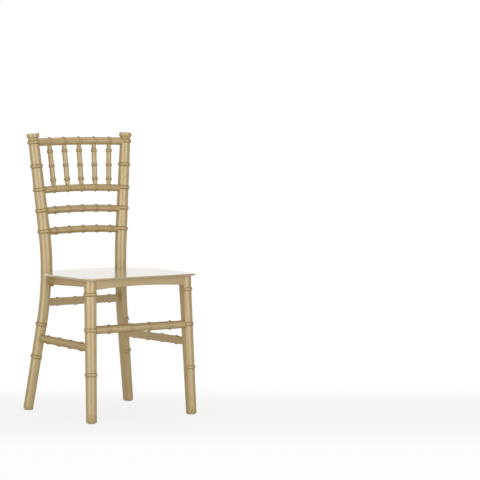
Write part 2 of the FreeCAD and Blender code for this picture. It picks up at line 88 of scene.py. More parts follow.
def dot(name: str, place: Vector) -> Piece:
    """Starts a piece from a single vertex and leaves it in edit mode.

    Args:
        name: Name of the new object.
        place: Where the vertex lies.

    Returns:
        The new object, at the origin.
    """
    clear()
    bpy.ops.mesh.primitive_plane_add(size=1.0, location=(0.0, 0.0, 0.0))
    piece = bpy.context.object
    piece.name = name
    piece.data.name = name
    bpy.ops.object.mode_set(mode="EDIT")
    bpy.ops.mesh.select_mode(type="VERT")
    bpy.ops.mesh.select_all(action="SELECT")
    bpy.ops.mesh.merge(type="CENTER")
    bpy.ops.transform.translate(value=place)
    return piece


def pull(way: Vector) -> None:
    """Extrudes what is selected, in edit mode."""
    bpy.ops.mesh.extrude_region_move(TRANSFORM_OT_translate={"value": way})


def trace(name: str, points: Sequence[Vector]) -> Piece:
    """Draws an open line by pulling a vertex from point to point.

    Args:
        name: Name of the new object.
        points: The line's points in order.

    Returns:
        The new object, in edit mode with everything selected.
    """
    piece = dot(name, points[0])
    for before, after in zip(points, points[1:]):
        pull(after - before)
    bpy.ops.mesh.select_all(action="SELECT")
    return piece


def pick(piece: Piece, test: Callable[[Vector], bool]) -> int:
    """Selects the vertices that pass a test, in edit mode.

    Args:
        piece: The object in edit mode.
        test: Says whether a vertex at a place is wanted.

    Returns:
        How many vertices are selected.
    """
    shape = bmesh.from_edit_mesh(piece.data)
    count = 0
    for vertex in shape.verts:
        vertex.select = bool(test(vertex.co))
        count += vertex.select
    shape.select_flush_mode()
    bmesh.update_edit_mesh(piece.data)
    return count


def pick_at(piece: Piece, *places: Vector) -> None:
    """Selects the vertices that lie at some places, in edit mode."""
    pick(piece, lambda co: any((co - place).length < TOUCH for place in places))


def heal() -> None:
    """Merges doubles and turns every face outwards, in edit mode, then leaves edit mode."""
    bpy.ops.mesh.select_all(action="SELECT")
    bpy.ops.mesh.remove_doubles(threshold=TOUCH)
    bpy.ops.mesh.normals_make_consistent(inside=False)
    bpy.ops.object.mode_set(mode="OBJECT")


def put(piece: Piece, place: Matrix) -> None:
    """Moves a piece into its place and writes the place into its mesh.

    Args:
        piece: The object, in object mode.
        place: The rigid move from the bench to the chair.
    """
    choose(piece)
    piece.matrix_world = place
    bpy.ops.object.transform_apply(location=True, rotation=True, scale=True)


def mirror(piece: Piece, name: str) -> Piece:
    """Copies a piece to the other side of the chair.

    Args:
        piece: The finished piece on one side.
        name: Name of the copy.

    Returns:
        The copy, with its own mesh and its faces outwards.
    """
    copy = piece.copy()
    copy.data = piece.data.copy()
    copy.name = name
    copy.data.name = name
    bpy.context.scene.collection.objects.link(copy)
    put(copy, Matrix.Diagonal((-1.0, 1.0, 1.0, 1.0)))
    bpy.ops.object.mode_set(mode="EDIT")
    bpy.ops.mesh.select_all(action="SELECT")
    bpy.ops.mesh.normals_make_consistent(inside=False)
    bpy.ops.object.mode_set(mode="OBJECT")
    return copy


def smooth(piece: Piece, degrees: float = 32.0) -> None:
    """Shades a piece smooth, apart from edges sharper than an angle."""
    choose(piece)
    bpy.ops.object.shade_smooth_by_angle(angle=math.radians(degrees))


def apply(piece: Piece, kind: str, **settings: object) -> None:
    """Adds a modifier, sets it and applies it.

    Args:
        piece: The object, in object mode.
        kind: Blender's modifier type.
        settings: Values of the modifier's settings.
    """
    choose(piece)
    modifier = piece.modifiers.new(kind.title(), kind)
    for key, value in settings.items():
        setattr(modifier, key, value)
    bpy.ops.object.modifier_apply(modifier=modifier.name)


def lathe(name: str, profile: Sequence[Pair], facets: int) -> Piece:
    """Turns a profile about the Z axis.

    Args:
        name: Name of the new object.
        profile: (radius, height) pairs from the lower end to the upper end.
        facets: Steps round the axis.

    Returns:
        A closed piece of revolution, in object mode.
    """
    line = [Vector((radius, 0.0, height)) for radius, height in profile]
    ends = [Vector((0.0, 0.0, profile[0][1])), Vector((0.0, 0.0, profile[-1][1]))]
    piece = trace(name, [ends[0]] + line + [ends[1]])
    bpy.ops.mesh.spin(steps=facets, dupli=False, angle=math.tau, use_auto_merge=True,
                      center=(0.0, 0.0, 0.0), axis=(0.0, 0.0, 1.0))
    heal()
    return piece


def slab(name: str, outline: Sequence[Vector], way: Vector) -> Piece:
    """Saws a panel: an outline, closed, filled and pulled to its thickness.

    Args:
        name: Name of the new object.
        outline: The outline's points in order, all in one plane.
        way: From one broad face to the other.

    Returns:
        The closed panel, in object mode.
    """
    piece = trace(name, outline)
    pick_at(piece, outline[0], outline[-1])
    for _ in ("closing edge", "face"):
        bpy.ops.mesh.edge_face_add()
        bpy.ops.mesh.select_all(action="SELECT")
    pull(way)
    heal()
    return piece


def board(name: str, places: Sequence[Vector], depths: Sequence[float], thickness: float) -> Piece:
    """Pulls an upright edge along a board's middle line and thickens the sheet that it leaves.

    Args:
        name: Name of the new object.
        places: Points of the board's upper middle line.
        depths: How far the board reaches down at each point.
        thickness: The board's thickness.

    Returns:
        The closed board, in object mode.
    """
    piece = dot(name, places[0])
    pull(-UP * depths[0])
    bpy.ops.mesh.select_all(action="SELECT")
    for before, after, shallow, deep in zip(places, places[1:], depths, depths[1:]):
        pull(after - before)
        pick_at(piece, after - UP * shallow)
        bpy.ops.transform.translate(value=UP * (shallow - deep))
        pick_at(piece, after - UP * deep, after)
    bpy.ops.object.mode_set(mode="OBJECT")
    apply(piece, "SOLIDIFY", thickness=thickness, offset=0.0, use_even_offset=True)
    bpy.ops.object.mode_set(mode="EDIT")
    heal()
    return piece


def ease(piece: Piece, width: float, segments: int = 3) -> None:
    """Rounds the edges of a sawn piece and keeps its broad faces flat to the eye.

    Args:
        piece: The sawn piece, in object mode.
        width: How far the rounding reaches from each edge.
        segments: Steps across the rounding.
    """
    apply(piece, "BEVEL", width=width, segments=segments, limit_method="ANGLE",
          angle_limit=math.radians(SAWN_EDGE))
    smooth(piece, SAWN_SMOOTH)
    apply(piece, "WEIGHTED_NORMAL", keep_sharp=True)


def plane(piece: Piece, cuts: Sequence[Place], turn: float = 0.0, unshaded_from: float = 1.0) -> None:
    """Planes lengths of a turned bar flat on its -X side and clears the painted shade off them.

    Args:
        piece: The bar, standing on the Z axis.
        cuts: (distance from the axis, lower height, upper height) of each flat.
        turn: Angle from the -X side towards the +Y side at which the flats lie.
        unshaded_from: Share of a flat's distance from the axis beyond which it carries no painted shade.
    """
    put(piece, Matrix.Rotation(turn, 4, "Z"))
    bpy.ops.object.mode_set(mode="EDIT")
    bpy.ops.mesh.select_mode(type="VERT")
    for depth, low, high in cuts:
        if pick(piece, lambda co: co.x < -depth and low < co.z < high):
            bpy.ops.transform.resize(value=(0.0, 1.0, 1.0), center_override=(-depth, 0.0, 0.0))
    bpy.ops.object.mode_set(mode="OBJECT")
    # the flats lose the painted shade of the rings planed off them
    layer = piece.data.attributes["groove"]
    for index, vertex in enumerate(piece.data.vertices):
        x, z = vertex.co.x, vertex.co.z
        if any(x < TOUCH - depth * unshaded_from and low < z < high for depth, low, high in cuts):
            layer.data[index].value = 0.0
    put(piece, Matrix.Rotation(-turn, 4, "Z"))


def axes(origin: Vector, along: Vector, side: Vector) -> Matrix:
    """A rigid place whose Z runs along a member and whose X points to a side.

    Args:
        origin: Where the bench's origin goes.
        along: Direction of the bench's Z axis.
        side: Rough direction of the bench's X axis.

    Returns:
        The place as a matrix.
    """
    rise = along.normalized()
    out = (side - rise * side.dot(rise)).normalized()
    matrix = Matrix((out, rise.cross(out), rise)).transposed().to_4x4()
    matrix.translation = origin
    return matrix


# Profiles


@dataclass(frozen=True)
class Ring:
    """A turned ring: a bead between two fine grooves, each with a slim collar beyond it.

    Shoulder and crest place points of the collar by shares of its length, shoulder_rise and
    brink_rise by shares of its height. The share of painted shade in the grooves, which stands in
    for the shade that falls there, is painted_shade; bead_painted_shade is the part of it on the bead,
    which dims the bead, and painted_shade_spread its reach, in widths of a groove.
    """

    half: float
    proud: float
    groove: float
    collar: float
    collar_proud: float
    sink: float
    shoulder: float = 0.3
    shoulder_rise: float = 0.8
    crest: float = 0.35
    brink_rise: float = 0.7
    roundness: float = 0.75
    # painted shade: how dark the grooves and the bead are painted, standing in for the shade in them
    painted_shade: float = 1.0
    bead_painted_shade: float = 0.25
    painted_shade_spread: float = 1.3
    steps: int = 8
    bead_angle: float = 84.0

    @property
    def reach(self) -> float:
        """Half of the ring's whole length along its member."""
        return self.half + self.groove + self.collar

    def outline(self, radius: float, middle: float) -> list[Pair]:
        """Profile points of the ring on a member.

        Args:
            radius: Radius of the member there.
            middle: Height of the ring's middle.

        Returns:
            (radius, height) pairs, upwards.
        """
        foot = -self.half - self.groove
        low = [(radius, -self.reach),
               (radius + self.collar_proud * self.shoulder_rise, -self.reach + self.collar * self.shoulder),
               (radius + self.collar_proud, foot - self.collar * self.crest),
               (radius + self.collar_proud * self.brink_rise, foot),
               (radius - self.sink, -self.half - self.groove * 0.5)]
        bead = []
        for step in range(self.steps + 1):
            angle = math.radians(self.bead_angle * (2.0 * step / self.steps - 1.0))
            rise = math.cos(angle) ** self.roundness
            bead.append((radius + self.proud * rise, self.half * math.sin(angle)))
        high = [(r, -z) for r, z in reversed(low)]
        return [(r, z + middle) for r, z in low + bead + high]


BIG_RING = Ring(half=4.6 * MM, proud=3.5 * MM, groove=1.2 * MM, collar=1.0 * MM,
                collar_proud=0.45 * MM, sink=0.45 * MM, roundness=0.42, painted_shade=0.6)
LEG_RING = Ring(half=4.6 * MM, proud=2.9 * MM, groove=1.2 * MM, collar=1.0 * MM,
                collar_proud=0.35 * MM, sink=0.45 * MM, roundness=0.42, painted_shade=0.5)
RAIL_RING = Ring(half=3.2 * MM, proud=2.5 * MM, groove=0.9 * MM, collar=0.8 * MM,
                 collar_proud=0.3 * MM, sink=0.35 * MM)
SPINDLE_RING = Ring(half=4.1 * MM, proud=2.4 * MM, groove=0.6 * MM, collar=0.7 * MM,
                    collar_proud=0.25 * MM, sink=0.2 * MM, roundness=0.65)


def plain(start: Pair, end: Pair, pitch: float) -> list[Pair]:
    """Points of a plain tapering length, close enough to bend smoothly.

    Args:
        start: (radius, height) at its lower end, which is left out.
        end: (radius, height) at its upper end, which is left out.
        pitch: Greatest distance between points.

    Returns:
        (radius, height) pairs between the ends.
    """
    count = max(1, math.ceil((end[1] - start[1]) / pitch))
    shares = [step / count for step in range(1, count)]
    return [(start[0] + (end[0] - start[0]) * share, start[1] + (end[1] - start[1]) * share)
            for share in shares]


def member(radius_at: Callable[[float], float], start: float, end: float, rings: Iterable[float],
           style: Ring, pitch: float) -> list[Pair]:
    """Profile of a turned member with rings.

    Args:
        radius_at: Radius of the member at a height.
        start: Height of the lower end.
        end: Height of the upper end.
        rings: Heights of the rings' middles.
        style: The rings' form.
        pitch: Greatest distance between points on plain lengths.

    Returns:
        (radius, height) pairs, upwards.
    """
    profile = [(radius_at(start), start)]
    for height in sorted(rings):
        outline = style.outline(radius_at(height), height)
        profile += plain(profile[-1], outline[0], pitch) + outline
    last = (radius_at(end), end)
    return profile + plain(profile[-1], last, pitch) + [last]


# Finishes


def operator(operation: str, swapped: bool = False) -> Callable[["Number", object], "Number"]:
    """Makes an arithmetic operator of Number.

    Args:
        operation: Blender's Math operation.
        swapped: Whether it is the reflected form, with a plain number first.

    Returns:
        The method.
    """
    def method(number: "Number", other: object) -> "Number":
        """Adds one Math node.

        Args:
            number: The number that the operator belongs to.
            other: The other number, plain or linked.

        Returns:
            The node's result.
        """
        first, second = (other, number) if swapped else (number, other)
        node = number.paint.node("ShaderNodeMath", {0: first, 1: second}, operation=operation)
        return Number(number.paint, node.outputs[0])

    return method


class Number:
    """A number that changes over a surface, with arithmetic that adds the nodes for it."""

    __add__, __radd__ = operator("ADD"), operator("ADD", swapped=True)
    __sub__, __rsub__ = operator("SUBTRACT"), operator("SUBTRACT", swapped=True)
    __mul__, __rmul__ = operator("MULTIPLY"), operator("MULTIPLY", swapped=True)

    def __init__(self, paint: "Paint", socket: Socket) -> None:
        """Keeps the paint that the number belongs to and the socket that gives it."""
        self.paint = paint
        self.socket = socket


class Paint:
    """The nodes of a material or of the world."""

    def __init__(self, owner: Union[bpy.types.Material, bpy.types.World],
                 output: str = "ShaderNodeOutputMaterial") -> None:
        """Clears the nodes and adds an output node.

        Args:
            owner: The new material or world.
            output: Blender's type of the output node.
        """
        owner.use_nodes = True
        self.owner = owner
        self.tree = owner.node_tree
        self.tree.nodes.clear()
        self.output = self.node(output)

    def node(self, kind: str, sockets: Union[dict[object, object], None] = None,
             **settings: object) -> bpy.types.Node:
        """Adds a node.

        Args:
            kind: Blender's node type.
            sockets: Values or links of its sockets, by name or number.
            settings: The node's own settings.

        Returns:
            The new node.
        """
        node = self.tree.nodes.new(kind)
        for key, value in settings.items():
            setattr(node, key, value)
        for key, value in (sockets or {}).items():
            link = value.socket if isinstance(value, Number) else value
            if isinstance(link, Socket):
                self.tree.links.new(link, node.inputs[key])
            else:
                node.inputs[key].default_value = value
        return node

    def number(self, node: bpy.types.Node, output: Union[int, str] = 0) -> Number:
        """A node's output as a number."""
        return Number(self, node.outputs[output])

    def place(self) -> Socket:
        """Object coordinates."""
        return self.node("ShaderNodeTexCoord").outputs["Object"]

    def noise(self, grain: Grain, stretch: Place = (1.0, 1.0, 1.0)) -> Number:
        """Noise over the surface.

        Args:
            grain: Scale, detail and roughness.
            stretch: Scale along each axis.

        Returns:
            The noise, from 0 to 1.
        """
        place = self.node("ShaderNodeMapping", {"Vector": self.place(), "Scale": stretch})
        return self.number(self.node("ShaderNodeTexNoise", {
            "Vector": place.outputs[0], "Scale": grain[0], "Detail": grain[1],
            "Roughness": grain[2]}), "Fac")

    def blend(self, share: Number, first: object, second: object) -> Socket:
        """A colour between two colours, plain or linked, by the share of the second one."""
        return self.node("ShaderNodeMix", {0: share, 6: first, 7: second}, data_type="RGBA",
                         clamp_factor=True).outputs[2]

    def bump(self, strength: float, distance: float, height: Number) -> Socket:
        """Normals of a surface that rises by a distance where the height is 1."""
        return self.node("ShaderNodeBump", {
            "Strength": strength, "Distance": distance, "Height": height}).outputs[0]

    def mix(self, share: Number, first: bpy.types.Node, second: bpy.types.Node) -> bpy.types.Node:
        """A shader between two shaders, by the share of the second one."""
        return self.node("ShaderNodeMixShader", {0: share, 1: first.outputs[0], 2: second.outputs[0]})

    def reach(self, where: Socket, way: Vector, edge: Pair) -> Number:
        """How far a place lies along a direction, as a soft step across an edge.

        Args:
            where: The place.
            way: The direction.
            edge: Distances where the step starts and ends.

        Returns:
            A number from 0 to 1.
        """
        along = self.node("ShaderNodeVectorMath", {0: where, 1: way}, operation="DOT_PRODUCT")
        return self.number(self.node("ShaderNodeMapRange", {
            "Value": along.outputs["Value"], "From Min": edge[0], "From Max": edge[1]},
            interpolation_type="SMOOTHSTEP"))

    def shown(self, backdrop: Number) -> Number:
        """Share of the white backdrop: whole for the camera, and for reflections where it stands.

        Args:
            backdrop: Share of it that reflections show at a place.

        Returns:
            The share as a number.
        """
        path = self.node("ShaderNodeLightPath")
        mirrored = self.number(path, "Is Glossy Ray") + self.number(path, "Is Transmission Ray")
        return self.number(path, "Is Camera Ray") + mirrored * backdrop

    def finish(self, shader: bpy.types.Node) -> Union[bpy.types.Material, bpy.types.World]:
        """Joins the shader to the output and gives the material or world."""
        self.tree.links.new(shader.outputs[0], self.output.inputs["Surface"])
        return self.owner


@dataclass(frozen=True)
class GoldPaint:
    """Satin champagne gold: pale metal flakes in an amber binder, darkened in the grooves by painted shade.
    """

    name: str = "gold_paint"
    binder: Colour = (0.460, 0.310, 0.108, 1.0)
    binder_pale: Colour = (0.530, 0.375, 0.145, 1.0)
    # painted shade: dark colour painted into the grooves and onto the beads, standing in for the shade
    # there
    painted_shade: Colour = (0.170, 0.090, 0.028, 1.0)
    flakes: Colour = (0.88, 0.79, 0.60, 1.0)
    flake_edge: Colour = (0.10, 0.05, 0.015, 1.0)
    flake_share: Pair = (0.27, 0.06)  # least share and its change with the grain
    binder_roughness: float = 0.6
    flake_roughness: Pair = (0.36, 0.08)  # least roughness and its change with the clouds
    cloud: Grain = (9.0, 4.0, 0.6)
    grain: Grain = (900.0, 2.0, 0.7)
    fine: Grain = (420.0, 3.0, 0.6)
    bump: Pair = (0.035, 0.0004)
    tone: Pair = (0.6, 0.4)  # shares of the clouds and of the grain in the binder's tone
    painted_shade_share: Pair = (0.6, 0.5)  # greatest share of painted shade on the binder and on the flakes

    def make(self) -> bpy.types.Material:
        """Builds the material.

        Returns:
            The new material.
        """
        paint = Paint(bpy.data.materials.new(self.name))
        cloud, grain = paint.noise(self.cloud), paint.noise(self.grain)
        groove = paint.number(paint.node("ShaderNodeAttribute", attribute_name="groove"), "Fac")
        bump = paint.bump(*self.bump, paint.noise(self.fine))
        tone = paint.blend(cloud * self.tone[0] + grain * self.tone[1], self.binder, self.binder_pale)
        # painted shade: the groove attribute darkens the binder and the flakes
        binder = paint.node("ShaderNodeBsdfPrincipled", {
            "Base Color": paint.blend(groove * self.painted_shade_share[0], tone, self.painted_shade), "Normal": bump,
            "Roughness": self.binder_roughness, "Specular IOR Level": 0.0})
        metal = paint.node("ShaderNodeBsdfPrincipled", {
            "Base Color": paint.blend(groove * self.painted_shade_share[1], self.flakes, self.painted_shade),
            "Normal": bump, "Roughness": self.flake_roughness[0] + cloud * self.flake_roughness[1],
            "Metallic": 1.0, "Specular Tint": self.flake_edge})
        return paint.finish(paint.mix(self.flake_share[0] + grain * self.flake_share[1], binder, metal))


@dataclass(frozen=True)
class SeatPaint:
    """The same gold on the flat seat, rubbed smooth, so it mirrors the backdrop at a low angle."""

    name: str = "seat_paint"
    base: Colour = (0.545, 0.425, 0.245, 1.0)
    pale: Colour = (0.600, 0.480, 0.290, 1.0)
    roughness: Pair = (0.28, 0.05)  # least roughness and its change with the scuffs
    metallic: float = 0.50
    coat: float = 1.0
    coat_roughness: float = 0.09
    cloud: Grain = (6.0, 4.0, 0.6)
    scuff: Grain = (25.0, 5.0, 0.65)
    peel: Grain = (60.0, 1.0, 0.5)
    bump: Pair = (0.01, 0.0003)

    def make(self) -> bpy.types.Material:
        """Builds the material.

        Returns:
            The new material.
        """
        paint = Paint(bpy.data.materials.new(self.name))
        return paint.finish(paint.node("ShaderNodeBsdfPrincipled", {
            "Base Color": paint.blend(paint.noise(self.cloud), self.base, self.pale),
            "Metallic": self.metallic, "Coat Weight": self.coat, "Coat Roughness": self.coat_roughness,
            "Roughness": self.roughness[0] + paint.noise(self.scuff) * self.roughness[1],
            "Normal": paint.bump(*self.bump, paint.noise(self.peel))}))


@dataclass(frozen=True)
class Grained:
    """A plain finish that one noise tints, roughens and raises."""

    name: str
    dark: Colour
    pale: Colour
    grain: Grain
    roughness: Pair
    bump: Pair = (0.0, 0.0003)
    metallic: float = 0.0
    stretch: Place = (1.0, 1.0, 1.0)

    def make(self) -> bpy.types.Material:
        """Builds the material.

        Returns:
            The new material.
        """
        paint = Paint(bpy.data.materials.new(self.name))
        grain = paint.noise(self.grain, self.stretch)
        return paint.finish(paint.node("ShaderNodeBsdfPrincipled", {
            "Base Color": paint.blend(grain, self.dark, self.pale), "Metallic": self.metallic,
            "Roughness": self.roughness[0] + grain * self.roughness[1],
            "Normal": paint.bump(*self.bump, grain)}))


# Thin gold paint over sawn corner blocks, with the grain showing
BLOCK_PAINT = Grained("block_paint", (0.36, 0.24, 0.11, 1.0), (0.56, 0.43, 0.24, 1.0), (1.0, 5.0, 0.5),
                      (0.55, 0.15), (0.25, 0.0005), 0.2, (40.0, 40.0, 400.0))
# Milky moulded nylon of the foot glides, scuffed by floors
NYLON = Grained("nylon", (0.50, 0.46, 0.38, 1.0), (0.66, 0.63, 0.56, 1.0), (180.0, 6.0, 0.7),
                (0.45, 0.2), (0.1, 0.0003))
# Zinc-plated steel of the screws
ZINC_STEEL = Grained("zinc_steel", (0.52, 0.53, 0.55, 1.0), (0.72, 0.72, 0.70, 1.0), (700.0, 3.0, 0.6),
                     (0.28, 0.15), metallic=1.0)


@dataclass(frozen=True)
class StudioFloor:
    """White floor that keeps faint shadows and runs into the white backdrop.

    The edges say where it turns fully white behind and in front of the chair, and from where on
    reflections show it as the backdrop, in metres along the line of sight.
    """

    name: str = "studio_floor"
    dark: Colour = (0.86, 0.86, 0.85, 1.0)
    pale: Colour = (0.90, 0.90, 0.89, 1.0)
    white: Colour = (1.0, 1.0, 1.0, 1.0)
    mottle: Grain = (1.4, 2.0, 0.5)
    shade_share: float = 0.20
    front_share: float = 0.72
    behind_edge: Pair = (0.15, 0.75)
    front_edge: Pair = (0.25, 0.85)
    mirrored_edge: Pair = (0.3, 1.5)

    def make(self) -> bpy.types.Material:
        """Builds the material.

        Returns:
            The new material.
        """
        paint = Paint(bpy.data.materials.new(self.name))
        where = paint.place()
        colour = paint.blend(paint.noise(self.mottle), self.dark, self.pale)
        lit = paint.node("ShaderNodeBsdfDiffuse", {"Color": colour})
        behind = paint.reach(where, BACKDROP, self.behind_edge)
        front = paint.reach(where, -BACKDROP, self.front_edge)
        white = paint.node("ShaderNodeEmission", {"Color": self.white, "Strength": 1.0})
        shade = (1.0 - behind) * (1.0 - front * self.front_share) * self.shade_share
        share = paint.shown(paint.reach(where, BACKDROP, self.mirrored_edge))
        return paint.finish(paint.mix(share, lit, paint.mix(shade, white, lit)))


@dataclass(frozen=True)
class StudioSky:
    """Even light on the chair, shown as white to the camera and in reflections of the backdrop."""

    name: str = "studio_world"
    white: Colour = (1.0, 1.0, 1.0, 1.0)
    ambient: float = 0.36
    backdrop_edge: Pair = (0.2, 0.6)

    def make(self) -> bpy.types.World:
        """Builds the world.

        Returns:
            The new world.
        """
        sky = Paint(bpy.data.worlds.new(self.name), "ShaderNodeOutputWorld")
        way = sky.node("ShaderNodeTexCoord").outputs["Generated"]
        soft = sky.node("ShaderNodeBackground", {"Color": self.white, "Strength": self.ambient})
        white = sky.node("ShaderNodeBackground", {"Color": self.white, "Strength": 1.0})
        share = sky.shown(sky.reach(way, BACKDROP, self.backdrop_edge))
        return sky.finish(sky.mix(share, soft, white))


class Finish(Enum):
    """The finishes of the chair, each with its paint and its material slot in the record."""

    GOLD = (GoldPaint(), "gold_painted_wood")
    SEAT = (SeatPaint(), "gold_painted_wood")
    BLOCK = (BLOCK_PAINT, "block_wood")
    NYLON = (NYLON, "glide_plastic")
    ZINC = (ZINC_STEEL, "screw_steel")


class Palette:
    """All finishes, each made once, and the work of laying dressed pieces over the solids."""

    def __init__(self) -> None:
        """Builds every material of the chair."""
        self.materials = {finish: finish.value[0].make() for finish in Finish}

    def lay(self, piece: Piece, node: str, finish: Finish = Finish.GOLD) -> None:
        """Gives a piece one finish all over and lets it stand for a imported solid.

        Args:
            piece: The modelled piece.
            node: Name of the solid's node.
            finish: The finish to give it.
        """
        piece.data.materials.clear()
        piece.data.materials.append(self.materials[finish])
        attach(piece, "root")
        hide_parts(node)
        log.info("%s: %d faces", node, len(piece.data.polygons))

    def lay_pair(self, piece: Piece, twin: str, node: str, finish: Finish = Finish.GOLD) -> None:
        """Lays the right piece of a pair and its mirrored twin.

        Args:
            piece: The modelled right piece.
            twin: Name of the left piece.
            node: Name of both nodes without their side.
            finish: The finish to give them.
        """
        self.lay(piece, node + "_right", finish)
        self.lay(mirror(piece, twin), node + "_left", finish)


def turned(name: str, profile: Sequence[Pair], facets: int, rings: Sequence[float], style: Ring) -> Piece:
    """Turns a ringed member on the Z axis and stores where painted shade darkens it beside its rings.

    Args:
        name: Name of the piece.
        profile: (radius, height) pairs, upwards.
        facets: Steps round the axis.
        rings: Heights of the rings' middles.
        style: The rings' form.

    Returns:
        The member, in object mode.
    """
    piece = lathe(name, profile, facets)
    layer = piece.data.attributes.new("groove", "FLOAT", "POINT")
    # painted shade: strongest in each groove, fading over its spread, and lighter on the bead
    dip = style.half + style.groove * 0.5
    for index, vertex in enumerate(piece.data.vertices):
        depth = 0.0
        for middle in rings:
            away = abs(vertex.co.z - middle)
            bead = style.bead_painted_shade if away < style.half else 0.0
            depth = max(depth, bead, 1.0 - abs(away - dip) / (style.groove * style.painted_shade_spread))
        layer.data[index].value = depth * style.painted_shade
    return piece


def shape_upright(piece: Piece, rings: Iterable[Pair], style: Ring, turn: float, flat: Pair) -> None:
    """Planes an upright's inner side flat and, beside that, its rings level with the wood.

    Args:
        piece: The upright, standing on the Z axis.
        rings: (radius of the upright, height) of each ring to plane.
        style: The rings' form.
        turn: Angle between the flat side and the side where the rings are planed, in degrees.
        flat: (distance from the axis, upper height) of the flat side.
    """
    cuts = [(radius, height - style.reach, height + style.reach) for radius, height in rings]
    plane(piece, cuts, math.radians(turn), unshaded_from=0.93)
    plane(piece, [(flat[0], -BEYOND, flat[1])])


# Lines that several sub-assemblies share


class PostLine:
    """Centre line of the right rear post: straight foot part, bend and straight back part."""

    def __init__(self, foot: Vector, knee: Vector, crown: Vector, bend_top: float) -> None:
        """Fits the bend's turn, radius, ends and centre between the straight parts.

        Args:
            foot: Lower end of the line.
            knee: Where the straight parts would meet.
            crown: Upper end of the line.
            bend_top: Height of the bend's upper end.
        """
        self.foot, self.knee = foot, knee
        self.down_way = (foot - knee).normalized()
        self.up_way = (crown - knee).normalized()
        reach = (bend_top - knee.z) / self.up_way.z
        self.turn = math.pi - self.down_way.angle(self.up_way)
        self.curve = reach / math.tan(self.turn / 2)
        self.low = knee + self.down_way * reach
        self.high = knee + self.up_way * reach
        bisector = (self.down_way + self.up_way).normalized()
        self.centre = knee + bisector * (self.curve / math.cos(self.turn / 2))

    def at(self, height: float) -> Vector:
        """Point of the line at a height, found on the bend by halving.

        Args:
            height: The height.

        Returns:
            The point.
        """
        if height <= self.low.z:
            return self.foot + self.down_way * (height / self.down_way.z)
        if height >= self.high.z:
            return self.knee + self.up_way * ((height - self.knee.z) / self.up_way.z)
        start, end = 0.0, self.turn
        spoke = self.low - self.centre
        for _ in range(HALVINGS):
            middle = (start + end) / 2
            across = self.down_way * (self.curve * math.sin(middle))
            point = self.centre + spoke * math.cos(middle) - across
            start, end = (middle, end) if point.z < height else (start, middle)
        return point

    def run(self, height: float) -> float:
        """Distance along the line from the lower end of the bend.

        Args:
            height: Height of the point to measure to.

        Returns:
            The distance, negative below the bend.
        """
        if height <= self.low.z:
            return (height - self.low.z) / -self.down_way.z
        if height >= self.high.z:
            return self.curve * self.turn + (height - self.high.z) / self.up_way.z
        spoke = self.low - self.centre
        return self.curve * spoke.angle(self.at(height) - self.centre)


class LegLine:
    """Centre line of the right front leg."""

    def __init__(self, foot: Vector, lean: Vector) -> None:
        """Keeps the line's lower end and its upward direction."""
        self.foot = foot
        self.way = lean.normalized()

    def at(self, height: float) -> Vector:
        """Point of the line at a height."""
        return self.foot + self.way * (height / self.way.z)


POST = PostLine(foot=Vector((0.1946, 0.1973, 0.0)), knee=Vector((0.1349, 0.1554, 0.4370)),
                crown=Vector((0.1795, 0.1850, 0.9125)), bend_top=0.5911)
LEG = LegLine(foot=Vector((0.1900, -0.1974, 0.0)), lean=Vector((-0.0240, 0.0485, 1.0)))
SEAT_TOP = 0.4600
SEAT_UNDER = 0.4535
GLIDE_HEIGHT = 3.0 * MM
POST_FLAT_TURN = math.radians(10.0)  # of the posts' flat inner sides towards the front
POST_FLAT = Vector((-math.cos(POST_FLAT_TURN), -math.sin(POST_FLAT_TURN), 0.0))
FOOT_EASE = 1.5 * MM
FOOT_ROUND = ((1.6, 0.0), (0.6, 0.4))  # (in from the side, up from the end), in millimetres


def eased_foot(radius: float, start: float) -> list[Pair]:
    """Profile of an upright's eased lower end; its side starts FOOT_EASE above the end."""
    return [(radius - inset * MM, start + rise * MM) for inset, rise in FOOT_ROUND]


def arc(centre: Vector, radius: float, start: float, end: float, steps: int) -> list[Vector]:
    """Points of an arc at the height of its centre.

    Args:
        centre: Its centre.
        radius: Its radius.
        start: Angle of the first point, in degrees from +X.
        end: Angle of the last point.
        steps: Number of steps between the points.

    Returns:
        The points, both ends among them.
    """
    angles = [math.radians(start + (end - start) * step / steps) for step in range(steps + 1)]
    return [centre + Vector((math.cos(angle), math.sin(angle), 0.0)) * radius for angle in angles]


# Sub-assemblies


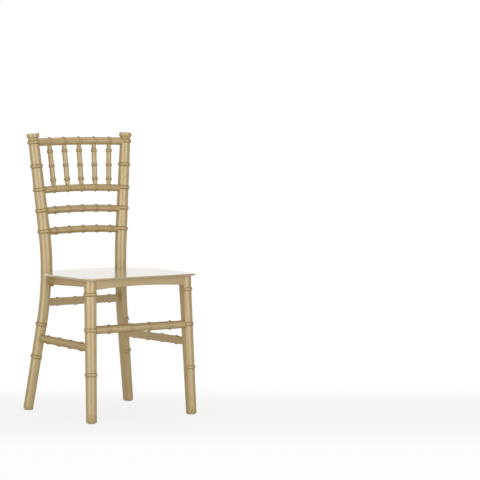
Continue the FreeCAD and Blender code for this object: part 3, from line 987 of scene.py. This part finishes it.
@dataclass
class RearPosts:
    """The two bent rear posts with rings, caps and a flat inner side below the seat."""

    palette: Palette
    foot_radius: float = 17.4 * MM
    waist_radius: float = 20.3 * MM
    top_radius: float = 17.2 * MM
    waist_height: float = 0.460
    top_height: float = 0.9125
    table_step: float = 0.02
    ring_heights: tuple[float, ...] = (0.177, 0.284, 0.5911, 0.6601, 0.7287, 0.8058, 0.8845)
    relief_turn: float = 45.0
    cap_base: float = 0.8945
    # (radius, height over the cap's base) and (radius, height under its top), in millimetres
    cap_rise: tuple[Pair, ...] = ((16.2, 0.4), (16.2, 1.6), (17.1, 3.0), (19.1, 5.2), (20.3, 6.4),
                                  (20.7, 7.6))
    cap_crown: tuple[Pair, ...] = ((20.7, 2.2), (20.4, 1.1), (19.6, 0.3), (18.5, 0.0), (17.7, 0.0),
                                   (10.35, 0.0))
    flat_depth: float = 10.4 * MM
    flat_top: float = 0.408
    pitch: float = 12.0 * MM
    facets: int = 56

    def radius(self, height: float) -> float:
        """Radius of the post, which is thickest at its waist.

        Args:
            height: Height over the floor.

        Returns:
            The radius there.
        """
        if height < self.waist_height:
            share = height / self.waist_height
            return self.foot_radius + (self.waist_radius - self.foot_radius) * share
        share = (height - self.waist_height) / (self.top_height - self.waist_height)
        return self.waist_radius + (self.top_radius - self.waist_radius) * share

    def radius_along(self) -> Callable[[float], float]:
        """Turns the radius at a height into the radius at a distance along the post's line.

        Returns:
            A function of the distance from the bend.
        """
        count = math.ceil(self.top_height / self.table_step)
        heights = [GLIDE_HEIGHT + self.table_step * step for step in range(count)]
        runs = {POST.run(height): self.radius(height) for height in heights}
        keys = sorted(runs)

        def radius_at(run: float) -> float:
            """Radius between the table's entries.

            Args:
                run: Distance along the line from the bend.

            Returns:
                The radius there.
            """
            for low, high in zip(keys, keys[1:]):
                if run <= high:
                    share = (run - low) / (high - low)
                    return runs[low] + (runs[high] - runs[low]) * max(share, 0.0)
            return runs[keys[-1]]

        return radius_at

    def profile(self) -> list[Pair]:
        """The profile of the post, with heights measured along its line from the bend.

        Returns:
            (radius, height) pairs, upwards.
        """
        radius_at = self.radius_along()
        start, neck, top = (POST.run(height) for height in (GLIDE_HEIGHT, self.cap_base, self.top_height))
        rings = [POST.run(height) for height in self.ring_heights]
        body = member(radius_at, start + FOOT_EASE, neck, rings, BIG_RING, self.pitch)
        cap = [(radius * MM, neck + rise * MM) for radius, rise in self.cap_rise]
        cap += [(radius * MM, top - drop * MM) for radius, drop in self.cap_crown]
        return eased_foot(radius_at(start), start) + body[:-1] + cap

    def build(self) -> None:
        """Models the right post, mirrors it and dresses both."""
        rings = [POST.run(height) for height in self.ring_heights]
        post = turned("post_right", self.profile(), self.facets, rings, BIG_RING)
        low_rings = [(self.radius(height), run) for height, run in zip(self.ring_heights, rings)
                     if height < self.flat_top]
        flat = (self.flat_depth, POST.run(self.flat_top))
        shape_upright(post, low_rings, BIG_RING, self.relief_turn, flat)
        place = axes(POST.low, -POST.down_way, POST.centre - POST.low)
        inward = place.to_3x3().inverted() @ POST_FLAT
        put(post, Matrix.Rotation(math.atan2(inward.y, inward.x) - math.pi, 4, "Z"))
        low = min(vertex.co.z for vertex in post.data.vertices)
        high = max(vertex.co.z for vertex in post.data.vertices)
        limits = (-low / (high - low), (POST.curve * POST.turn - low) / (high - low))
        apply(post, "SIMPLE_DEFORM", deform_method="BEND", deform_axis="Y", angle=POST.turn, limits=limits)
        put(post, place)
        smooth(post)
        self.palette.lay_pair(post, "post_left", "rear_post")


@dataclass
class FrontLegs:
    """The two straight front legs with rings and a flat inner side."""

    palette: Palette
    foot_radius: float = 16.9 * MM
    top_radius: float = 20.2 * MM
    top_height: float = 0.4534
    ring_heights: tuple[float, ...] = (0.1541, 0.2956, 0.4086)
    relief_turn: float = 35.0
    flat_depth: float = 14.6 * MM
    pitch: float = 30.0 * MM
    facets: int = 56

    def radius(self, height: float) -> float:
        """Radius of the leg at a height."""
        return self.foot_radius + (self.top_radius - self.foot_radius) * height / self.top_height

    def build(self) -> None:
        """Models the right leg, mirrors it and dresses both."""
        foot = eased_foot(self.radius(GLIDE_HEIGHT), GLIDE_HEIGHT)
        body = member(self.radius, GLIDE_HEIGHT + FOOT_EASE, self.top_height, self.ring_heights, LEG_RING,
                      self.pitch)
        leg = turned("leg_right", foot + body, self.facets, self.ring_heights, LEG_RING)
        rings = [(self.radius(height), height) for height in self.ring_heights]
        shape_upright(leg, rings, LEG_RING, self.relief_turn, (self.flat_depth, BEYOND))
        put(leg, axes(LEG.at(0.0), LEG.way, ACROSS))
        smooth(leg)
        self.palette.lay_pair(leg, "leg_left", "front_leg")


class RailLine:
    """Arc of a back rail between the post centre lines."""

    def __init__(self, height: float, rise: float, bow: float) -> None:
        """Fits the arc's radius and centre.

        Args:
            height: Height of its ends.
            rise: How far its middle lies over its ends.
            bow: How far its middle lies behind its ends.
        """
        self.end = POST.at(height)
        lift = Vector((0.0, bow, rise))
        self.curve = (self.end.x ** 2 + lift.length ** 2) / (2 * lift.length)
        self.lift_way = lift.normalized()
        self.centre = Vector((0.0, self.end.y + bow, height + rise)) - self.lift_way * self.curve

    def at(self, x: float) -> Vector:
        """Point of the arc at a distance from the middle of the chair."""
        angle = math.asin(x / self.curve)
        return self.centre + self.lift_way * (self.curve * math.cos(angle)) + ACROSS * x

    def run(self, x: float) -> float:
        """Distance along the arc from the middle of the chair."""
        return self.curve * math.asin(x / self.curve)


@dataclass
class BackRails:
    """The top rail, the spindle rail and the two lumbar rails."""

    palette: Palette
    top: RailLine = RailLine(0.8835, 3.2 * MM, 10.0 * MM)
    lower: tuple[tuple[str, RailLine], ...] = (
        ("spindle_rail", RailLine(0.7258, 5.8 * MM, 1.0 * MM)),
        ("upper_lumbar_rail", RailLine(0.6570, 5.8 * MM, 1.0 * MM)),
        ("lower_lumbar_rail", RailLine(0.5887, 5.8 * MM, 1.0 * MM)))
    top_radius: float = 12.75 * MM
    lower_radius: float = 11.4 * MM
    top_pitch: float = 57.9 * MM
    lower_pitch: float = 52.8 * MM
    post_radius: float = 18.0 * MM
    socket: float = 9.0 * MM
    pitch: float = 8.0 * MM
    facets: int = 44

    def rail(self, node: str, line: RailLine, radius: float, spacing: float) -> None:
        """Models one rail on the bench, bends it and lays it between the posts.

        Args:
            node: Name of the rail's node.
            line: The rail's arc.
            radius: The rail's radius.
            spacing: Spacing of its rings.
        """
        reach = line.end.x - self.post_radius + self.socket
        end = line.run(reach)
        rings = [line.run(spacing * step) + end for step in range(-2, 3)]
        profile = member(lambda height: radius, 0.0, end * 2, rings, RAIL_RING, self.pitch)
        rail = turned(node + "_turned", profile, self.facets, rings, RAIL_RING)
        apply(rail, "SIMPLE_DEFORM", deform_method="BEND", deform_axis="Y",
              angle=end * 2 / line.curve, limits=(0.0, 1.0))
        start = line.at(-reach)
        spoke = line.centre - start
        way = spoke.normalized()
        put(rail, axes(start, ACROSS - way * ACROSS.dot(way), spoke))
        smooth(rail)
        self.palette.lay(rail, node)

    def build(self) -> None:
        """Models the four rails."""
        self.rail("top_rail", self.top, self.top_radius, self.top_pitch)
        for node, line in self.lower:
            self.rail(node, line, self.lower_radius, self.lower_pitch)


@dataclass
class Spindles:
    """The five turned spindles between the top rail and the spindle rail."""

    palette: Palette
    rails: BackRails
    shaft: float = 8.3 * MM
    neck: float = 6.3 * MM
    ring_shares: tuple[float, ...] = (0.14, 0.49, 0.85)
    socket: float = 5.0 * MM
    pitch: float = 10.0 * MM
    facets: int = 36

    def build(self) -> None:
        """Models each spindle between its two rails."""
        for number, step in enumerate(range(-2, 3), 1):
            low = self.rails.lower[0][1].at(self.rails.lower_pitch * step)
            high = self.rails.top.at(self.rails.top_pitch * step)
            length = (high - low).length - self.rails.lower_radius - self.rails.top_radius
            rings = [length * share for share in self.ring_shares]

            def radius_at(height: float) -> float:
                """Radius of the spindle: full between the outer rings, narrowed towards its ends."""
                fore, aft = height / rings[0], (length - height) / (length - rings[-1])
                return self.neck + (self.shaft - self.neck) * min(max(min(fore, aft), 0.0), 1.0)

            profile = member(radius_at, -self.socket, length + self.socket, rings, SPINDLE_RING, self.pitch)
            spindle = turned("spindle_turned_%d" % number, profile, self.facets, rings, SPINDLE_RING)
            axis = (high - low).normalized()
            put(spindle, axes(low + axis * self.rails.lower_radius, axis, ACROSS))
            smooth(spindle)
            self.palette.lay(spindle, "spindle_%d" % number)


@dataclass
class Stretchers:
    """The four straight stretchers, round outside and flat inside."""

    palette: Palette
    radius: float = 12.9 * MM
    flat_depth: float = 4.5 * MM
    front_height: float = 0.2946
    rear_height: float = 0.3568
    side_height: float = 0.2380
    front_offsets: Pair = (0.036, 0.116)
    rear_offsets: Pair = (0.032, 0.101)
    side_offsets: Pair = (0.039, 0.118)
    inset: float = 6.0 * MM
    pitch: float = 60.0 * MM
    facets: int = 44

    def bar(self, name: str, start: Vector, end: Vector, offsets: Pair, inward: Vector) -> Piece:
        """Models one stretcher.

        Args:
            name: Name of the piece.
            start: One end of its axis.
            end: The other end.
            offsets: Half spacings of its two pairs of rings.
            inward: Direction that its flat side faces.

        Returns:
            The stretcher in its place.
        """
        length = (end - start).length
        rings = [length / 2 + offset * side for offset in offsets for side in (-1, 1)]
        profile = member(lambda height: self.radius, 0.0, length, rings, RAIL_RING, self.pitch)
        bar = turned(name, profile, self.facets, rings, RAIL_RING)
        plane(bar, [(self.flat_depth, -BEYOND, BEYOND)])
        put(bar, axes(start, end - start, -inward))
        smooth(bar)
        return bar

    def build(self) -> None:
        """Models the front, rear and side stretchers."""
        front = LEG.at(self.front_height) - ACROSS * self.inset
        rear = POST.at(self.rear_height) - ACROSS * self.inset
        for side, end, offsets, inward in (("front", front, self.front_offsets, Vector((0, 1, 0))),
                                           ("rear", rear, self.rear_offsets, Vector((0, -1, 0)))):
            start = Vector((-end.x, end.y, end.z))
            bar = self.bar("stretcher_" + side, start, end, offsets, inward)
            self.palette.lay(bar, side + "_stretcher")
        fore = LEG.at(self.side_height)
        aft = POST.at(self.side_height)
        gap = (aft - fore).normalized() * self.inset
        bar = self.bar("stretcher_side_right", fore + gap, aft - gap, self.side_offsets, -ACROSS)
        self.palette.lay_pair(bar, "stretcher_side_left", "side_stretcher")


@dataclass
class Seat:
    """The flat seat panel with its rounded lip, notched round the rear posts.

    Bend is the radius of the arcs on which its sides turn in. They start at bend_start behind the
    chair's middle and stop at bend_stop in front of the posts' centres.
    """

    palette: Palette
    half_width: float = 215.0 * MM
    front: float = 210.0 * MM
    rear: float = 178.6 * MM
    corner: float = 32.0 * MM
    bend: float = 168.0 * MM
    bend_start: float = 2.6 * MM
    bend_stop: float = 25.0 * MM
    post_radius: float = 20.3 * MM
    notch_share: float = 0.9
    lip: float = 2.4 * MM
    corner_steps: int = 10
    bend_steps: int = 16
    notch_steps: int = 18

    def right_side(self) -> list[Vector]:
        """Outline of the seat's right half.

        Returns:
            Its points, from the front edge to the back edge.
        """
        post = POST.at(SEAT_TOP)
        corner = Vector((self.half_width - self.corner, self.corner - self.front, SEAT_TOP))
        bend = Vector((self.half_width - self.bend, self.bend_start, SEAT_TOP))
        turn = math.degrees(math.asin((post.y - self.bend_stop - self.bend_start) / self.bend))
        line = arc(corner, self.corner, -90.0, 0.0, self.corner_steps)
        line += arc(bend, self.bend, 0.0, turn, self.bend_steps)
        inside = self.notch_share * self.post_radius
        fore = math.degrees(math.atan2(line[-1].y - post.y, line[-1].x - post.x))
        aft = math.degrees(math.atan2(self.rear - post.y, -inside)) - 360.0
        centre = Vector((post.x, post.y, SEAT_TOP))
        line += arc(centre, self.post_radius, fore, aft, self.notch_steps)
        return line + [Vector((post.x - inside, self.rear, SEAT_TOP))]

    def build(self) -> None:
        """Saws the panel, rounds its lip and dresses it."""
        right = self.right_side()
        left = [Vector((-point.x, point.y, point.z)) for point in reversed(right)]
        seat = slab("seat_sawn", right + left, UP * (SEAT_UNDER - SEAT_TOP))
        ease(seat, self.lip, segments=4)
        self.palette.lay(seat, "seat_panel", Finish.SEAT)


@dataclass
class Aprons:
    """The four boards under the seat, with arched lower edges; the side ones are bent."""

    palette: Palette
    thickness: float = 16.0 * MM
    depth: float = 31.5 * MM
    arch: float = 8.0 * MM
    front_face: float = -190.9 * MM
    rear_face: float = 174.6 * MM
    side_face: float = 194.0 * MM
    side_curve: float = 361.0 * MM
    side_bend_start: float = -37.4 * MM
    # (share of its length from the front, rise of its lower edge in millimetres)
    side_line: tuple[Pair, ...] = ((0.0, 10.0), (0.35, 6.5), (0.65, 2.5), (0.80, 0.0), (0.87, -1.0),
                                   (0.91, -3.2), (0.94, -8.0), (1.0, -16.0))
    tenon: float = 6.0 * MM
    edge: float = 1.6 * MM
    steps: int = 24
    side_steps: Sequence[int] = (6, 26)

    def straight(self, name: str, half: float, y: float) -> Piece:
        """Models the front or the rear apron.

        Args:
            name: Name of the piece.
            half: Half of its length, which ends inside the uprights.
            y: Its middle plane.

        Returns:
            The sawn board.
        """
        shares = [2.0 * step / self.steps - 1.0 for step in range(self.steps + 1)]
        places = [Vector((half * share, y, SEAT_UNDER)) for share in shares]
        depths = [self.depth - self.arch * (1.0 - share * share) for share in shares]
        return board(name, places, depths, self.thickness)

    def rise(self, share: float) -> float:
        """How far the side apron's lower edge lies over its plain line.

        Args:
            share: Place along the apron, as a share of its length from the front.

        Returns:
            The height over the line.
        """
        for (before, low), (after, high) in zip(self.side_line, self.side_line[1:]):
            if share <= after:
                return (low + (high - low) * (share - before) / (after - before)) * MM
        return self.side_line[-1][1] * MM

    def side(self) -> Piece:
        """Models the right side apron, straight in front and bent behind.

        Returns:
            The sawn board.
        """
        fore = LEG.at(SEAT_UNDER).y
        post = POST.at(SEAT_UNDER)
        middle = self.side_face - self.thickness / 2
        curve = self.side_curve - self.thickness / 2
        count, bend_count = self.side_steps
        places = [Vector((middle, fore + (self.side_bend_start - fore) * step / count, SEAT_UNDER))
                  for step in range(count)]
        turn = math.degrees(math.asin((post.y - self.tenon - self.side_bend_start) / curve))
        centre = Vector((middle - curve, self.side_bend_start, SEAT_UNDER))
        places += arc(centre, curve, 0.0, turn, bend_count)
        depths = [self.depth - self.rise((place.y - fore) / (post.y - fore)) for place in places]
        return board("apron_side_right", places, depths, self.thickness)

    def build(self) -> None:
        """Models the boards, rounds their edges and dresses them."""
        middle = SEAT_UNDER - self.depth / 2
        half = self.thickness / 2
        front = self.straight("apron_front", LEG.at(middle).x - self.tenon, self.front_face + half)
        rear = self.straight("apron_rear", POST.at(middle).x - self.tenon, self.rear_face - half)
        side = self.side()
        for piece in (front, rear, side):
            ease(piece, self.edge)
        self.palette.lay(front, "front_apron")
        self.palette.lay(rear, "rear_apron")
        self.palette.lay_pair(side, "apron_side_left", "side_apron")


@dataclass
class CornerBlocks:
    """The glued blocks in the corners of the apron frame and the screws that rise through them.

    A rear block's corner lies rear_out beyond the side apron's middle line, rear_gap in front of
    the post, and is cut off from rear_cut on one side to rear_step on the other. The shares place
    a screw in its block, as parts of the length of the block's sides.
    """

    palette: Palette
    aprons: Aprons
    height: float = 22.0 * MM
    front_leg: float = 50.0 * MM
    rear_leg: float = 60.0 * MM
    rear_gap: float = 20.0 * MM
    rear_out: float = 10.0 * MM
    rear_cut: float = 8.0 * MM
    rear_step: float = 0.35
    side_steps: int = 8
    edge: float = 0.8 * MM
    front_shares: Pair = (-0.42, 0.30)
    rear_shares: Pair = (-0.62, -0.20)
    head: float = 3.8 * MM
    head_ease: Pair = (0.3 * MM, 0.25 * MM)
    shank: float = 1.9 * MM
    tip: float = 0.3 * MM
    point: float = 3.0 * MM
    head_depth: float = 2.6 * MM
    bite: float = 4.0 * MM
    slot_width: float = 0.9 * MM
    slot_depth: float = 1.3 * MM
    slot_share: float = 0.62
    facets: int = 24

    def front_outline(self) -> list[Vector]:
        """Outline of the right front block.

        Returns:
            Its three corners.
        """
        x = self.aprons.side_face - self.aprons.thickness
        y = self.aprons.front_face + self.aprons.thickness
        return [Vector((x, y, SEAT_UNDER)), Vector((x, y + self.front_leg, SEAT_UNDER)),
                Vector((x - self.front_leg, y, SEAT_UNDER))]

    def rear_corner(self) -> Vector:
        """Finds where the sides of the right rear block would meet.

        Returns:
            The corner, on top of the block.
        """
        curve = self.aprons.side_curve - self.aprons.thickness / 2
        post = POST.at(SEAT_UNDER - self.aprons.depth / 2)
        run = post.y - self.rear_gap - self.aprons.side_bend_start
        x = self.aprons.side_face - self.aprons.side_curve + math.sqrt(curve ** 2 - run ** 2)
        return Vector((x + self.rear_out, self.aprons.rear_face - self.aprons.thickness, SEAT_UNDER))

    def rear_outline(self) -> list[Vector]:
        """Outline of the right rear block, whose outer side follows the bent apron.

        Returns:
            Its points, along the side apron and then along the rear one.
        """
        corner = self.rear_corner()
        curve = self.aprons.side_curve - self.aprons.thickness
        centre = Vector((self.aprons.side_face - self.aprons.side_curve, self.aprons.side_bend_start,
                         SEAT_UNDER))
        start, end = (math.degrees(math.asin((corner.y - back - centre.y) / curve))
                      for back in (self.rear_leg, self.rear_cut))
        inner = [corner - ACROSS * self.rear_leg * share for share in (self.rear_step, 1.0)]
        return arc(centre, curve, start, end, self.side_steps) + inner

    def screw(self, name: str, place: Vector) -> Piece:
        """Turns one countersunk screw and cuts the cross in its head.

        Args:
            name: Name of the piece.
            place: Middle of the head's outer face.

        Returns:
            The screw in its place.
        """
        length = self.height + self.bite
        profile = [(self.head - self.head_ease[0], 0.0), (self.head, self.head_ease[1]),
                   (self.shank, self.head_depth), (self.shank, length - self.point), (self.tip, length)]
        screw = lathe(name, profile, self.facets)
        arm, side = self.head * self.slot_share, self.slot_width / 2
        corners = [Vector((x, y, -self.slot_depth)) for x, y in ((side, -side), (arm, -side), (arm, side))]
        cross = [Matrix.Rotation(math.tau / 4 * step, 3, "Z") @ corner
                 for step in range(4) for corner in corners]
        cutter = slab(name + "_cross", cross, UP * self.slot_depth * 2)
        apply(screw, "BOOLEAN", object=cutter, operation="DIFFERENCE", solver="EXACT")
        bpy.data.objects.remove(cutter)
        put(screw, Matrix.Translation(place))
        smooth(screw, degrees=35.0)
        return screw

    def build(self) -> None:
        """Models the blocks and the screws."""
        places = []
        for side, outline, corner, leg, shares in (
                ("front", self.front_outline(), self.front_outline()[0], self.front_leg, self.front_shares),
                ("rear", self.rear_outline(), self.rear_corner(), self.rear_leg, self.rear_shares)):
            block = slab("block_" + side, outline, UP * -self.height)
            ease(block, self.edge, segments=2)
            self.palette.lay_pair(block, "block_%s_left" % side, "corner_block_" + side, Finish.BLOCK)
            places.append(corner + Vector((leg * shares[0], leg * shares[1], -self.height)))
        places += [Vector((-place.x, place.y, place.z)) for place in places]
        screws = [self.screw("screw_%d" % number, place) for number, place in enumerate(places, 1)]
        choose(screws[0])
        for screw in screws:
            screw.select_set(True)
        bpy.ops.object.join()
        self.palette.lay(screws[0], "seat_screws", Finish.ZINC)


@dataclass
class Glides:
    """The four nylon glides under the feet."""

    palette: Palette
    # (radius, height) pairs in millimetres, from the hollow underside to the top of the pin
    profile: tuple[Pair, ...] = ((2.6, 0.9), (3.2, 0.9), (4.2, 0.0), (12.1, 0.0), (13.1, 0.4), (13.5, 1.2),
                                 (13.5, 2.2), (13.0, 3.0), (2.0, 3.0), (2.0, 17.0))
    facets: int = 40

    def build(self) -> None:
        """Turns a glide for each right foot, mirrors it and dresses all four."""
        profile = [(radius * MM, height * MM) for radius, height in self.profile]
        for foot, node in ((LEG.foot, "foot_glide_front"), (POST.foot, "foot_glide_rear")):
            glide = lathe(node + "_turned", profile, self.facets)
            put(glide, Matrix.Translation(foot))
            smooth(glide)
            self.palette.lay_pair(glide, node + "_left_turned", node, Finish.NYLON)


@dataclass(frozen=True)
class Lamp:
    """A soft square lamp: its name, its place, the length of its sides and its power in watts."""

    name: str
    place: Place
    size: float
    power: float

    def hang(self, aim: Vector) -> None:
        """Adds the lamp.

        Args:
            aim: The point that it faces.
        """
        where = Vector(self.place)
        bpy.ops.object.light_add(type="AREA", location=where)
        lamp = bpy.context.object
        lamp.name = self.name
        lamp.data.shape = "SQUARE"
        lamp.data.size = self.size
        lamp.data.energy = self.power
        lamp.rotation_euler = (aim - where).to_track_quat("-Z", "Y").to_euler()


@dataclass
class Studio:
    """White floor and sky, soft lamps and the camera of the photograph."""

    camera_place: Place = (-3.8351, -6.2226, 1.0251)
    camera_tilt: float = 86.397
    camera_azimuth: float = -35.0
    focal_pixels: float = 2235.1
    frame_pixels: float = 480.0
    sensor: float = 36.0
    far: float = 200.0
    floor_size: float = 60.0
    lamps: tuple[Lamp, ...] = (Lamp("key_lamp", (0.3, -4.8, 1.2), 4.0, 84.0),
                               Lamp("side_lamp", (-4.5, -1.4, 1.2), 3.8, 84.0),
                               Lamp("top_lamp", (0.3, 0.2, 3.4), 2.6, 18.0))
    lamp_aim: Place = (0.0, 0.0, 0.45)

    def build(self) -> None:
        """Builds the floor, the world, the lamps and the camera."""
        clear()
        bpy.ops.mesh.primitive_plane_add(size=self.floor_size, location=(0.0, 0.0, 0.0))
        floor = bpy.context.object
        floor.name = "studio_floor"
        floor.data.materials.append(StudioFloor().make())

        bpy.context.scene.world = StudioSky().make()
        for lamp in self.lamps:
            lamp.hang(Vector(self.lamp_aim))

        bpy.ops.object.camera_add(location=self.camera_place)
        camera = bpy.context.object
        camera.rotation_euler = (math.radians(self.camera_tilt), 0.0, math.radians(self.camera_azimuth))
        camera.data.sensor_width = self.sensor
        camera.data.lens = self.focal_pixels / self.frame_pixels * self.sensor
        camera.data.clip_end = self.far
        bpy.context.scene.camera = camera
        bpy.context.scene.view_settings.view_transform = "Standard"


def main() -> None:
    """Builds every sub-assembly in order."""
    logging.basicConfig(level=logging.INFO, format="%(message)s")
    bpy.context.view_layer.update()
    palette = Palette()
    rails = BackRails(palette)
    aprons = Aprons(palette)
    parts = (RearPosts(palette), FrontLegs(palette), rails, Spindles(palette, rails), Stretchers(palette),
             Seat(palette), aprons, CornerBlocks(palette, aprons), Glides(palette), Studio())
    for part in parts:
        log.info("building %s", type(part).__name__)
        part.build()


if __name__ == "__main__":
    main()
